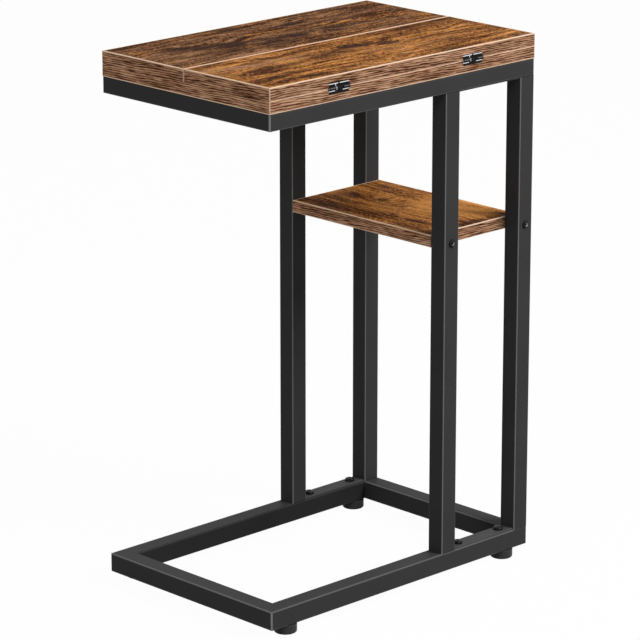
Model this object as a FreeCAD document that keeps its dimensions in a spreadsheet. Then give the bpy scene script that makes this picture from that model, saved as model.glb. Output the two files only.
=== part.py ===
# C-shaped side table: a black square-tube frame that is open at one end, a top that flips out to
# twice its depth on four edge hinges, a small shelf between the posts and four screw-in feet.
# Millimetres, +Z up, origin on the floor under the middle of the table. The open end is at -X,
# the posts are at +X and the long front edge is at -Y.
import FreeCAD, Part
import os
import re
import Sketcher

DRIVING_DIMENSIONS = {
    # whole table
    "top_length": 460,
    "top_depth": 300,
    "post_length": 602,
    # square tube of the base and the posts; the rails under the top are lower
    "tube": 25,
    "top_rail_height": 21,
    "tube_wall": 1.2,
    "tube_round": 2.2,
    "corner_flat": 1.7,
    # boards and the strips glued round their edges
    "board_thick": 16,
    "band_thick": 2,
    "band_round": 1,
    "leaf_gap": 0.4,
    "leaf_seam": 1,
    "shelf_length": 160,
    "shelf_level": 446,
    # flat strips welded between each pair of posts, at foot and head, and their bolts
    "strip_width": 20.4,
    "strip_thick": 2,
    "strip_round": 1.7,
    "strip_bolt_inset": 17,
    "bolt_shank": 6,
    "bolt_head": 12.5,
    "bolt_head_height": 4,
    "bolt_head_round": 2.6,
    "shelf_bolt_head": 10.5,
    "shelf_bolt_head_height": 2.4,
    "shelf_bolt_head_round": 1.7,
    "flat_head": 10,
    "bolt_socket": 4,
    "bolt_socket_deep": 2,
    "bolt_length": 12,
    "shelf_bolt_length": 46,
    "weld_nut_width": 10,
    "weld_nut_thick": 5,
    "insert_width": 10,
    "insert_length": 18,
    # screws that hold the fixed board on the frame
    "screw_shank": 4,
    "screw_head": 8,
    "screw_head_height": 2.4,
    "screw_head_round": 1.6,
    "screw_length": 34,
    "screw_slot": 1,
    "screw_slot_deep": 1.2,
    "end_screw_spread": 70,
    "long_screw_place": 100,
    # feet
    "foot_height": 12,
    "foot_width": 29,
    "foot_round": 2.5,
    "foot_inset": 35,
    "foot_play": 0.3,
    "foot_floor": 4,
    "stud_width": 8,
    "stud_reach": 14,
    "foot_nut_width": 13,
    # flip hinges
    "hinge_place": 116,
    "hinge_width": 34,
    "hinge_middle": 12,
    "hinge_play": 0.3,
    "knuckle_radius": 2.6,
    "knuckle_flat": 1.7,
    "hinge_pin": 2,
    "plate_thick": 1.5,
    "plate_bevel": 0.7,
    "moving_plate_reach": 7.2,
    "fixed_plate_reach": 6.8,
    "peg_width": 3.6,
    "peg_length": 10,
    "peg_place": 11,
    "hinge_fixing_level": 4.7,
    "hinge_screw_head": 3.2,
    "hinge_screw_shank": 2.4,
    "hinge_screw_length": 14,
    # allowances on diameters and sizes
    "thread_play": 0.1,
    "drill_play": 0.6,
    "mortise_play": 0.1,
}

# Sizes that follow from the driving ones.
DERIVED = {
    "base_top": "foot_height + tube",
    "post_top": "base_top + post_length",
    "board_bottom": "post_top + top_rail_height",
    "flip_level": "board_bottom + board_thick + leaf_gap / 2",
    "flip_line": "top_depth / 2 + hinge_play",
    "leaf_depth": "(top_depth - leaf_seam) / 2",
    "leaf_line": "top_depth / 2 - leaf_depth / 2",
    "rail_line": "top_depth / 2 - tube / 2",
    "end_line": "top_length / 2 - tube / 2",
    "inner_post_line": "top_length / 2 - shelf_length + tube / 2",
    "shelf_line": "top_length / 2 - shelf_length / 2",
    "shelf_depth": "top_depth - 2 * tube",
    "strip_length": "shelf_length - 2 * tube",
    "bolt_spread": "strip_length / 2 - strip_bolt_inset",
    "foot_line": "top_length / 2 - foot_inset",
    "outer_knuckle_start": "hinge_middle / 2 + hinge_play",
    "outer_knuckle_length": "hinge_width / 2 - outer_knuckle_start",
}

OVERCUT = "1"
TURN_ABOUT_X = FreeCAD.Vector(1, 0, 0)
TURN_ABOUT_Y = FreeCAD.Vector(0, 1, 0)
TURN_ABOUT_Z = FreeCAD.Vector(0, 0, 1)
ALONG_Y = (TURN_ABOUT_X, -90)
ALONG_X = (TURN_ABOUT_Y, 90)
UPSIDE_DOWN = (TURN_ABOUT_X, 180)
NEAR = 1e-4
HEXAGON_CORNER = 3 ** -0.5

doc = FreeCAD.newDocument("SideTable")
sheet = doc.addObject("Spreadsheet::Sheet", "Dimensions")
for row, (alias, value) in enumerate(DRIVING_DIMENSIONS.items(), start=1):
    sheet.set(f"A{row}", alias)
    sheet.set(f"B{row}", str(value))
    sheet.setAlias(f"B{row}", alias)
doc.recompute()

finished = []


# Words, numbers and places

def cells(text):
    """A size written in the sheet's words, as an expression on the sheet's cells."""
    def swap(match):
        word = match.group()
        return f"({cells(DERIVED[word])})" if word in DERIVED else f"Dimensions.{word}"
    return re.sub(r"[a-z_]+", swap, str(text))


def number(text):
    return float(sheet.evalExpression(cells(text)))


def place(piece, x="0", y="0", z="0", turn=None):
    """Sets a piece's turn, an axis and degrees, and binds its position to the sheet."""
    if turn:
        piece.Placement = FreeCAD.Placement(FreeCAD.Vector(), FreeCAD.Rotation(*turn))
    for axis, text in zip("xyz", (x, y, z)):
        piece.setExpression(f"Placement.Base.{axis}", cells(text))
    return piece


def keep(piece, label):
    """Names a finished sub-part, which is written to its own file."""
    piece.Label = label
    finished.append(piece)
    return piece


# Bodies, sketches and features

def new_body(name):
    body = doc.addObject("PartDesign::Body", name)
    body.Label = name + " shape"
    return body


def new_sketch(body, role, lift="0"):
    """An empty sketch on one of the body's own planes, lifted along that plane's normal."""
    sketch = body.newObject("Sketcher::SketchObject", "Sketch")
    plane = next(item for item in body.Origin.OriginFeatures if item.Role == role)
    sketch.AttachmentSupport = [(plane, "")]
    sketch.MapMode = "FlatFace"
    sketch.setExpression("AttachmentOffset.Base.z", cells(lift))
    return sketch


def pin_point(sketch, geometry, end, x, y):
    """Ties one point of the sketch to its distances from the sketch's origin."""
    for kind, text, axis in (("DistanceX", x, -2), ("DistanceY", y, -1)):
        distance = number(text)
        if abs(distance) < NEAR:
            sketch.addConstraint(Sketcher.Constraint("PointOnObject", geometry, end, axis))
        else:
            index = sketch.addConstraint(Sketcher.Constraint(kind, -1, 1, geometry, end, distance))
            sketch.setExpression(f"Constraints[{index}]", cells(text))


def add_outline(sketch, points):
    first = sketch.GeometryCount
    corners = [FreeCAD.Vector(number(x), number(y), 0) for x, y in points]
    count = len(corners)
    sketch.addGeometry([Part.LineSegment(corners[i], corners[(i + 1) % count]) for i in range(count)])
    for i in range(count):
        following = first + (i + 1) % count
        sketch.addConstraint(Sketcher.Constraint("Coincident", first + i, 2, following, 1))
    for i, (x, y) in enumerate(points):
        pin_point(sketch, first + i, 1, x, y)


def add_rectangle(sketch, width, height, x="0", y="0"):
    left, right = (f"{x} {sign} ({width}) / 2" for sign in "-+")
    low, high = (f"{y} {sign} ({height}) / 2" for sign in "-+")
    add_outline(sketch, [(left, low), (right, low), (right, high), (left, high)])


def add_circle(sketch, diameter, x="0", y="0"):
    centre = FreeCAD.Vector(number(x), number(y), 0)
    radius = number(diameter) / 2
    circle = sketch.addGeometry(Part.Circle(centre, FreeCAD.Vector(0, 0, 1), radius))
    pin_point(sketch, circle, 3, x, y)
    index = sketch.addConstraint(Sketcher.Constraint("Diameter", circle, 2 * radius))
    sketch.setExpression(f"Constraints[{index}]", cells(diameter))


def add_hexagon(sketch, across_flats):
    flat, point = f"({across_flats}) / 2", f"({across_flats}) * {HEXAGON_CORNER}"
    half = f"{point} / 2"
    add_outline(sketch, [(point, "0"), (half, flat), (f"-{half}", flat),
                         (f"-{point}", "0"), (f"-{half}", f"-{flat}"), (half, f"-{flat}")])


def add_cross(sketch, span, width):
    long, short = f"({span}) / 2", f"({width}) / 2"
    arm = [(long, short), (short, short), (short, long)]
    quarters = [arm, [(f"-{x}", y) for x, y in reversed(arm)],
                [(f"-{x}", f"-{y}") for x, y in arm], [(x, f"-{y}") for x, y in reversed(arm)]]
    add_outline(sketch, [point for quarter in quarters for point in quarter])


def pad(body, sketch, length, reverse=False, both=False):
    feature = body.newObject("PartDesign::Pad", "Pad")
    feature.Profile = sketch
    feature.setExpression("Length", cells(length))
    feature.Reversed = reverse
    feature.SideType = "Symmetric" if both else "One side"
    doc.recompute()
    return feature


def pocket(body, sketch, length=None, reverse=False, both=False):
    """Cuts a sketch out of the body, right through unless a length is given."""
    before = body.Shape.Volume
    feature = body.newObject("PartDesign::Pocket", "Pocket")
    feature.Profile = sketch
    feature.SideType = "Symmetric" if both else "One side"
    feature.Reversed = reverse
    if length:
        feature.setExpression("Length", cells(length))
    else:
        feature.Type = "ThroughAll"
    doc.recompute()
    if not body.Shape.Volume < before - NEAR:
        raise RuntimeError(f"a pocket in {body.Label} cuts nothing")
    return feature


def dress(body, kind, size, wanted):
    """Rounds (Fillet) or bevels (Chamfer) the body's edges that the test picks out."""
    names = [f"Edge{i}" for i, edge in enumerate(body.Shape.Edges, start=1) if wanted(edge)]
    if not names:
        raise RuntimeError(f"no edge to dress in {body.Label}")
    solid = body.Tip
    feature = body.newObject("PartDesign::" + kind, kind)
    feature.Base = (solid, names)
    feature.setExpression("Radius" if kind == "Fillet" else "Size", cells(size))
    doc.recompute()
    return feature


def box_of(edge):
    box = edge.BoundBox
    return (box.XMin, box.XMax), (box.YMin, box.YMax), (box.ZMin, box.ZMax)


def lies_at(edge, axis, level):
    """True where the whole edge lies in the plane at that level of the axis, 0 to 2 for X to Z."""
    low, high = box_of(edge)[axis]
    return abs(low - level) < NEAR and abs(high - level) < NEAR


def round_end(level):
    return lambda edge: isinstance(edge.Curve, Part.Circle) and lies_at(edge, 2, level)


# Tools that are cut from every piece that a fastener or a hinge passes through

def drill(diameter, length, x, y, z, turn=None):
    """A cylinder from the given point, up along +Z or as turned."""
    tool = doc.addObject("Part::Cylinder", "Drill")
    tool.setExpression("Radius", cells(f"({diameter}) / 2"))
    tool.setExpression("Height", cells(length))
    return place(tool, x, y, z, turn)


def group(name, members):
    compound = doc.addObject("Part::Compound", name)
    compound.Links = members
    doc.recompute()
    return compound


def copies(name, original, places):
    """A group of linked copies of one piece, each with its own position and turn."""
    links = []
    for spot in places:
        link = doc.addObject("App::Link", name + "_copy")
        link.LinkedObject = original
        links.append(place(link, *spot))
    return group(name, links)


def cut_from(blank, *tools):
    for tool in tools:
        before = blank.Shape.Volume
        cut = doc.addObject("Part::Cut", "Cut")
        cut.Base = blank
        cut.Tool = tool
        doc.recompute()
        if not cut.Shape.Volume < before - NEAR:
            raise RuntimeError(f"{tool.Label} misses {blank.Label}")
        blank = cut
    return blank


# Frame: tubes, mitred at the corners of the base and of the top frame

def tube_shape(name, role, length, height):
    """A hollow tube with rounded corners, centred, along X from YZ_Plane or along Z from XY_Plane."""
    body = new_body(name)
    section = new_sketch(body, role)
    add_rectangle(section, "tube", height)
    add_rectangle(section, "tube - 2 * tube_wall", f"{height} - 2 * tube_wall")
    pad(body, section, length, both=True)
    across = (1, 2) if role == "YZ_Plane" else (0, 1)
    reaches = list(zip(across, (number("tube") / 2, number(height) / 2)))

    def is_corner(edge):
        return all(lies_at(edge, axis, reach) or lies_at(edge, axis, -reach) for axis, reach in reaches)

    dress(body, "Fillet", "tube_round", is_corner)
    return body


def mitred_rail(name, length, height):
    """A tube along X with its long side at -Y; its ends are cut at 45 degrees and their tips ground flat."""
    body = tube_shape(name, "YZ_Plane", length, height)
    ends = new_sketch(body, "XY_Plane")
    inner, outer = f"tube / 2 + {OVERCUT}", f"-tube / 2 - {OVERCUT}"
    for side in ("", "-"):
        far = f"{side}(({length}) / 2 + {OVERCUT})"
        near = f"{side}(({length}) / 2 - tube - {OVERCUT})"
        flat_start = f"{side}(({length}) / 2 - corner_flat - {OVERCUT})"
        flat_end = f"{side}(({length}) / 2 - corner_flat / 2)"
        add_outline(ends, [(flat_start, outer), (far, outer), (far, inner), (near, inner),
                           (flat_end, "-tube / 2 + corner_flat / 2")])
    pocket(body, ends, both=True)
    return body


def rail_ring(level_name, height, bottom, drills):
    """The four rails of one level; drills gives the holes that cross each rail."""
    sides = {
        "front": ("top_length", "0", "-rail_line", 0),
        "back": ("top_length", "0", "rail_line", 180),
        "open_end": ("top_depth", "-end_line", "0", -90),
        "post_end": ("top_depth", "end_line", "0", 90),
    }
    for side, (length, x, y, degrees) in sides.items():
        name = f"{level_name}_{side}_rail"
        rail = mitred_rail(name, length, height)
        place(rail, x, y, f"{bottom} + {height} / 2", (TURN_ABOUT_Z, degrees))
        doc.recompute()
        keep(cut_from(rail, *drills.get(side, ())), name)


FRONT_AND_BACK = {"front": "-", "back": ""}
INNER_AND_OUTER = {"inner": "inner_post_line", "outer": "end_line"}
strip_bolt_spots = {side: [(f"shelf_line {way} bolt_spread", f"{sign}rail_line") for way in "-+"]
                    for side, sign in FRONT_AND_BACK.items()}
foot_spots = {side: [(f"{end}foot_line", f"{sign}rail_line") for end in ("-", "")]
              for side, sign in FRONT_AND_BACK.items()}
board_screw_spots = {
    "front": [("-long_screw_place", "-rail_line")],
    "back": [("-long_screw_place", "rail_line")],
    "open_end": [("-end_line", "-end_screw_spread"), ("-end_line", "end_screw_spread")],
    "post_end": [("end_line", "-end_screw_spread"), ("end_line", "end_screw_spread")],
}


def upright_drills(name, spots, diameter, start, length):
    return group(name, [drill(diameter, length, x, y, start) for x, y in spots])


def through_wall(name, spots, diameter, wall_bottom):
    """Holes through one wall of a tube, and through a strip that lies against it."""
    start = f"{wall_bottom} - strip_thick - {OVERCUT}"
    return upright_drills(name, spots, diameter, start, f"tube_wall + 2 * strip_thick + 2 * {OVERCUT}")


def sinks(name, spots):
    """Cones that sink a flat head into the underside of a head strip."""
    wide, narrow = f"(flat_head + thread_play) / 2 + {OVERCUT}", "(bolt_shank + thread_play) / 2"
    members = []
    for x, y in spots:
        cone = doc.addObject("Part::Cone", "Sink")
        cone.setExpression("Radius1", cells(wide))
        cone.setExpression("Radius2", cells(narrow))
        cone.setExpression("Height", cells(f"{wide} - {narrow}"))
        members.append(place(cone, x, y, f"post_top - strip_thick - {OVERCUT}"))
    return group(name, members)


base_bolt_drills = {side: through_wall(f"{side}_base_drills", spots, "bolt_shank + drill_play",
                                       "base_top - tube_wall") for side, spots in strip_bolt_spots.items()}
head_bolt_drills = {side: through_wall(f"{side}_head_drills", spots, "bolt_shank + drill_play", "post_top")
                    for side, spots in strip_bolt_spots.items()}
head_bolt_sinks = {side: sinks(f"{side}_head_sinks", spots) for side, spots in strip_bolt_spots.items()}
foot_drills = {side: through_wall(f"{side}_foot_drills", spots, "stud_width + drill_play", "foot_height")
               for side, spots in foot_spots.items()}
board_screw_drills = {side: upright_drills(f"{side}_screw_drills", spots, "screw_shank + drill_play",
                                           f"post_top - {OVERCUT}", f"top_rail_height + {OVERCUT}")
                      for side, spots in board_screw_spots.items()}

rail_ring("base", "tube", "foot_height",
          {side: (base_bolt_drills[side], foot_drills[side]) for side in FRONT_AND_BACK})
rail_ring("top", "top_rail_height", "post_top",
          {side: (holes, head_bolt_drills[side]) if side in FRONT_AND_BACK else (holes,)
           for side, holes in board_screw_drills.items()})


def strip_shape(name):
    """A flat strip along X that lies on a rail, with its upper long edges rounded."""
    body = new_body(name)
    plan = new_sketch(body, "XY_Plane")
    add_rectangle(plan, "strip_length", "strip_width")
    pad(body, plan, "strip_thick")
    top, out = number("strip_thick"), number("strip_width") / 2
    dress(body, "Fillet", "strip_round",
          lambda edge: lies_at(edge, 2, top) and (lies_at(edge, 1, out) or lies_at(edge, 1, -out)))
    return body


# Four posts, drilled for the shelf's bolts, and the strips welded between them at foot and head.
for side, sign in FRONT_AND_BACK.items():
    for row, line in INNER_AND_OUTER.items():
        post = tube_shape(f"{side}_{row}_post", "XY_Plane", "post_length", "tube")
        place(post, line, f"{sign}rail_line", "base_top + post_length / 2")
        bolt_drill = drill("bolt_shank + drill_play", f"tube + 2 * {OVERCUT}", line,
                           f"{sign}rail_line - tube / 2 - {OVERCUT}", "shelf_level", ALONG_Y)
        doc.recompute()
        keep(cut_from(post, bolt_drill), f"{side}_{row}_post")
    for end, level, turn, tools in (("foot", "base_top", None, (base_bolt_drills,)),
                                    ("head", "post_top", UPSIDE_DOWN, (head_bolt_drills, head_bolt_sinks))):
        strip = place(strip_shape(f"{side}_{end}_strip"), "shelf_line", f"{sign}rail_line", level, turn)
        doc.recompute()
        keep(cut_from(strip, *[holes[side] for holes in tools]), f"{side}_{end}_strip")


# Fasteners: each kind is made once, standing on its underside with the shank down -Z

def headed_shape(name, head, head_height, head_round, shank, length):
    body = new_body(name)
    top = new_sketch(body, "XY_Plane")
    add_circle(top, head)
    pad(body, top, head_height)
    dress(body, "Fillet", head_round, round_end(number(head_height)))
    stem = new_sketch(body, "XY_Plane")
    add_circle(stem, shank)
    pad(body, stem, length, reverse=True)
    dress(body, "Chamfer", f"({shank}) / 8", round_end(-number(length)))
    return body


def button_bolt(name, head, length):
    body = headed_shape(name, head, f"{head}_height", f"{head}_round", "bolt_shank", length)
    socket = new_sketch(body, "XY_Plane", lift=f"{head}_height")
    add_hexagon(socket, "bolt_socket")
    pocket(body, socket, "bolt_socket_deep")
    return body


def pan_screw(name):
    body = headed_shape(name, "screw_head", "screw_head_height", "screw_head_round",
                        "screw_shank", "screw_length")
    slot = new_sketch(body, "XY_Plane", lift="screw_head_height")
    add_cross(slot, "screw_head / 2", "screw_slot")
    pocket(body, slot, "screw_slot_deep")
    return body


def countersunk_shape(name, head, shank, length, taper):
    """A flat-headed shape with its face at the origin, its shank down -Z and its end tapered."""
    body = new_body(name)
    half = new_sketch(body, "XZ_Plane")
    cone, radius = f"({head} - {shank}) / 2", f"{shank} / 2"
    add_outline(half, [("0", "0"), (f"{head} / 2", "0"), (radius, f"-{cone}"),
                       (radius, f"-{length} + {taper}"), (f"{radius} - {taper}", f"-{length}"),
                       ("0", f"-{length}")])
    spin = body.newObject("PartDesign::Revolution", "Revolution")
    spin.Profile = half
    spin.ReferenceAxis = (half, ["V_Axis"])
    doc.recompute()
    return body


def flat_bolt(name):
    body = countersunk_shape(name, "flat_head", "bolt_shank", "bolt_length", "bolt_shank / 8")
    socket = new_sketch(body, "XY_Plane")
    add_hexagon(socket, "bolt_socket")
    pocket(body, socket, "bolt_socket_deep")
    return body


def hinge_screw_shape(name):
    body = countersunk_shape(name, "hinge_screw_head", "hinge_screw_shank", "hinge_screw_length",
                             "hinge_screw_shank * 0.4")
    slot = new_sketch(body, "XY_Plane")
    add_cross(slot, "hinge_screw_head * 0.6", "screw_slot / 2")
    pocket(body, slot, "screw_slot_deep / 2")
    return body


def square_nut(name, width, bore):
    """A weld nut that stands on the wall it is welded to."""
    body = new_body(name)
    plan = new_sketch(body, "XY_Plane")
    add_rectangle(plan, width, width)
    add_circle(plan, bore)
    pad(body, plan, "weld_nut_thick")
    return body


def sleeve(name):
    """A threaded insert for a board edge, its open end at the origin and its body down -Z."""
    body = new_body(name)
    ring = new_sketch(body, "XY_Plane")
    add_circle(ring, "insert_width")
    add_circle(ring, "bolt_shank + thread_play")
    pad(body, ring, "insert_length", reverse=True)
    return body


short_bolt = button_bolt("short_bolt", "bolt_head", "bolt_length")
head_bolt = flat_bolt("head_bolt")
shelf_bolt = button_bolt("shelf_bolt", "shelf_bolt_head", "shelf_bolt_length")
weld_nut = square_nut("weld_nut", "weld_nut_width", "bolt_shank + thread_play")
foot_nut = square_nut("foot_nut", "foot_nut_width", "stud_width + thread_play")
insert = sleeve("insert")
board_screw = pan_screw("board_screw")
hinge_screw = hinge_screw_shape("hinge_screw")

all_strip_bolts = [spot for spots in strip_bolt_spots.values() for spot in spots]
keep(copies("base_bolts", short_bolt,
            [(x, y, "base_top + strip_thick") for x, y in all_strip_bolts]), "base_bolts")
keep(copies("base_weld_nuts", weld_nut,
            [(x, y, "base_top - tube_wall - weld_nut_thick") for x, y in all_strip_bolts]), "base_weld_nuts")
keep(copies("head_bolts", head_bolt,
            [(x, y, "post_top - strip_thick", UPSIDE_DOWN) for x, y in all_strip_bolts]), "head_bolts")
keep(copies("head_weld_nuts", weld_nut,
            [(x, y, "post_top + tube_wall") for x, y in all_strip_bolts]), "head_weld_nuts")
keep(copies("foot_weld_nuts", foot_nut,
            [(x, y, "foot_height + tube_wall") for spots in foot_spots.values() for x, y in spots]),
     "foot_weld_nuts")
keep(copies("top_board_screws", board_screw,
            [(x, y, "post_top", UPSIDE_DOWN) for spots in board_screw_spots.values() for x, y in spots]),
     "top_board_screws")

# The shelf's bolts go through the posts from outside, front and back, into inserts in its long edges.
OUTWARD = {"front": (TURN_ABOUT_X, 90), "back": (TURN_ABOUT_X, -90)}
keep(copies("shelf_bolts", shelf_bolt,
            [(line, f"{sign}top_depth / 2", "shelf_level", OUTWARD[side])
             for side, sign in FRONT_AND_BACK.items() for line in INNER_AND_OUTER.values()]), "shelf_bolts")
keep(copies("shelf_inserts", insert,
            [(line, f"{sign}shelf_depth / 2", "shelf_level", OUTWARD[side])
             for side, sign in FRONT_AND_BACK.items() for line in INNER_AND_OUTER.values()]), "shelf_inserts")


# Flip hinges, each drawn with its pin along X through the origin and its outside towards -Y

def knuckle_span(body, feature, sketch_of, start, length):
    """Repeats a feature on both outer knuckles, from the start outwards."""
    for sign, outward_is_normal in (("", True), ("-", False)):
        sketch = new_sketch(body, "YZ_Plane", lift=f"{sign}({start})")
        sketch_of(sketch)
        reverse = not outward_is_normal if feature is pad else outward_is_normal
        feature(body, sketch, length, reverse=reverse)


def hinge_plate(name, moving):
    """One half of a hinge: a plate sunk in a board's edge with its knuckles, two pegs and a screw hole."""
    way = "" if moving else "-"
    reach = "moving_plate_reach" if moving else "fixed_plate_reach"
    fixing = f"{way}hinge_fixing_level"
    body = new_body(name)
    face = new_sketch(body, "XZ_Plane", lift="-hinge_play")
    add_rectangle(face, "hinge_width", f"{reach} - leaf_gap / 2", y=f"{way}({reach} + leaf_gap / 2) / 2")
    pad(body, face, "plate_thick", reverse=True)
    front, tip = number("hinge_play"), number(f"{way}{reach}")
    if moving:
        dress(body, "Chamfer", "plate_bevel", lambda edge: lies_at(edge, 1, front) and lies_at(edge, 2, tip))

    def barrel(sketch):
        add_circle(sketch, "2 * knuckle_radius")

    def room(sketch):
        add_circle(sketch, "2 * (knuckle_radius + hinge_play)")

    middle = new_sketch(body, "YZ_Plane")
    if moving:
        knuckle_span(body, pocket, room, "hinge_middle / 2", f"(hinge_width - hinge_middle) / 2 + {OVERCUT}")
        barrel(middle)
        pad(body, middle, "hinge_middle", both=True)
        flat = new_sketch(body, "YZ_Plane")
        add_rectangle(flat, "knuckle_radius", "3 * knuckle_radius", x="-knuckle_flat - knuckle_radius / 2")
        pocket(body, flat, "hinge_middle", both=True)
    else:
        room(middle)
        pocket(body, middle, "2 * outer_knuckle_start", both=True)
        knuckle_span(body, pad, barrel, "outer_knuckle_start", "outer_knuckle_length")
    bore = new_sketch(body, "YZ_Plane")
    add_circle(bore, "hinge_pin + thread_play")
    pocket(body, bore, both=True)
    pegs = new_sketch(body, "XZ_Plane", lift="-hinge_play - plate_thick")
    for side in ("", "-"):
        add_circle(pegs, "peg_width", f"{side}peg_place", fixing)
    pad(body, pegs, "peg_length", reverse=True)
    hole = new_sketch(body, "XZ_Plane")
    add_circle(hole, "hinge_screw_shank + thread_play", y=fixing)
    pocket(body, hole)
    dress(body, "Chamfer", "(hinge_screw_head - hinge_screw_shank) / 2",
          lambda edge: isinstance(edge.Curve, Part.Circle) and lies_at(edge, 1, front))
    return body


def hinge_pin(name):
    body = new_body(name)
    section = new_sketch(body, "YZ_Plane")
    add_circle(section, "hinge_pin")
    pad(body, section, "hinge_width", both=True)
    dress(body, "Fillet", "hinge_pin / 5", lambda edge: isinstance(edge.Curve, Part.Circle))
    return body


hinge_spots = {
    "front_left": ("-hinge_place", "-flip_line", 0),
    "front_right": ("hinge_place", "-flip_line", 0),
    "back_left": ("-hinge_place", "flip_line", 180),
    "back_right": ("hinge_place", "flip_line", 180),
}
hinge_makers = {
    "fixed_plate": lambda name: hinge_plate(name, moving=False),
    "moving_plate": lambda name: hinge_plate(name, moving=True),
    "pin": hinge_pin,
}
for corner, (x, y, degrees) in hinge_spots.items():
    for piece, make in hinge_makers.items():
        name = f"{corner}_hinge_{piece}"
        keep(place(make(name), x, y, "flip_level", (TURN_ABOUT_Z, degrees)), name)


def hinge_screw_places(level, corners):
    """Screws in the plates' faces; each points into its board's edge."""
    spots = []
    for corner in corners:
        x = hinge_spots[corner][0]
        side = corner.split("_")[0]
        spots.append((x, f"{FRONT_AND_BACK[side]}top_depth / 2", level, OUTWARD[side]))
    return spots


keep(copies("fixed_hinge_screws", hinge_screw,
            hinge_screw_places("flip_level - hinge_fixing_level", hinge_spots)), "fixed_hinge_screws")
for side in FRONT_AND_BACK:
    corners = [corner for corner in hinge_spots if corner.startswith(side)]
    keep(copies(f"{side}_leaf_hinge_screws", hinge_screw,
                hinge_screw_places("flip_level + hinge_fixing_level", corners)), f"{side}_leaf_hinge_screws")


def mortise_tool():
    """The room that one hinge takes in the two boards: plates, barrel, pegs and screw holes."""
    width = "hinge_width + 2 * mortise_play"
    members = [drill("2 * (knuckle_radius + hinge_play + mortise_play)", width, f"-({width}) / 2", "0", "0",
                     ALONG_X)]
    deep = f"plate_thick + {OVERCUT}"
    for way, reach in (("", "moving_plate_reach"), ("-", "fixed_plate_reach")):
        recess = doc.addObject("Part::Box", "Recess")
        recess.setExpression("Length", cells(width))
        recess.setExpression("Width", cells(deep))
        recess.setExpression("Height", cells(f"{reach} + mortise_play"))
        bottom = "0" if not way else f"-{reach} - mortise_play"
        members.append(place(recess, f"-({width}) / 2", f"hinge_play - {OVERCUT}", bottom))
        fixing = f"{way}hinge_fixing_level"
        for side in ("", "-"):
            members.append(drill("peg_width + thread_play", "plate_thick + peg_length + mortise_play",
                                 f"{side}peg_place", "hinge_play", fixing, ALONG_Y))
        members.append(drill("hinge_screw_shank + thread_play", "hinge_screw_length + mortise_play", "0",
                             "hinge_play", fixing, ALONG_Y))
    tool = doc.addObject("Part::MultiFuse", "Mortise")
    tool.Shapes = members
    doc.recompute()
    return tool


mortise = mortise_tool()
mortises = {side: copies(f"{side}_mortises", mortise,
                         [(x, y, "flip_level", (TURN_ABOUT_Z, degrees))
                          for corner, (x, y, degrees) in hinge_spots.items() if corner.startswith(side)])
            for side in FRONT_AND_BACK}


# Boards: a core with a printed face, and four thin strips glued round its edges

def board_core(name, length, depth, spot):
    body = new_body(name)
    plan = new_sketch(body, "XY_Plane")
    add_rectangle(plan, f"{length} - 2 * band_thick", f"{depth} - 2 * band_thick")
    pad(body, plan, "board_thick")
    place(body, *spot)
    doc.recompute()
    return body


def edge_strip(name, length, out, is_long):
    """One strip, its outer face at -Y, the given distance out from the board's middle."""
    body = new_body(name)
    plan = new_sketch(body, "XY_Plane")
    add_rectangle(plan, length, "band_thick", y=f"-({out}) + band_thick / 2")
    pad(body, plan, "board_thick")
    outside, top = -number(out), number("board_thick")

    def on_outer_face(edge):
        level = lies_at(edge, 2, 0) or lies_at(edge, 2, top)
        return lies_at(edge, 1, outside) and (is_long or level)

    dress(body, "Fillet", "band_round", on_outer_face)
    return body


def edge_strips(name, length, depth, spot):
    short = f"({depth}) - 2 * band_thick"
    members = []
    sides = ((0, length, depth), (180, length, depth), (90, short, length), (-90, short, length))
    for degrees, run, out in sides:
        strip = edge_strip(f"{name}_strip", run, f"({out}) / 2", run == length)
        members.append(place(strip, *spot, (TURN_ABOUT_Z, degrees)))
    doc.recompute()
    return group(name + "_set", members)


def board(name, strips_name, length, depth, spot, strip_tools, core_tools):
    keep(cut_from(board_core(name, length, depth, spot), *strip_tools, *core_tools), name)
    keep(cut_from(edge_strips(strips_name, length, depth, spot), *strip_tools), strips_name)


pilots = upright_drills("pilots", [spot for spots in board_screw_spots.values() for spot in spots],
                        "screw_shank + thread_play", "board_bottom",
                        "screw_length - top_rail_height + mortise_play")
insert_bores = group("insert_bores", [
    drill("insert_width + thread_play", "insert_length + mortise_play", line,
          f"{sign}(shelf_depth / 2)", "shelf_level", (TURN_ABOUT_X, 90 if side == "back" else -90))
    for side, sign in FRONT_AND_BACK.items() for line in INNER_AND_OUTER.values()])
insert_bolt_room = group("insert_bolt_room", [
    drill("bolt_shank + thread_play", "shelf_bolt_length - tube + mortise_play", line,
          f"{sign}(shelf_depth / 2)", "shelf_level", (TURN_ABOUT_X, 90 if side == "back" else -90))
    for side, sign in FRONT_AND_BACK.items() for line in INNER_AND_OUTER.values()])

board("fixed_top_board", "fixed_top_board_edge_strips", "top_length", "top_depth", ("0", "0", "board_bottom"),
      (mortises["front"], mortises["back"]), (pilots,))
for side, sign in FRONT_AND_BACK.items():
    board(f"{side}_flip_leaf", f"{side}_flip_leaf_edge_strips", "top_length", "leaf_depth",
          ("0", f"{sign}leaf_line", "flip_level + leaf_gap / 2"), (mortises[side],), ())
board("shelf_board", "shelf_board_edge_strips", "shelf_length", "shelf_depth",
      ("shelf_line", "0", "shelf_level - board_thick / 2"), (insert_bores,), (insert_bolt_room,))


# Feet: a moulded pad round the lower end of a threaded stud, screwed up into the rail's weld nut

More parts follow.
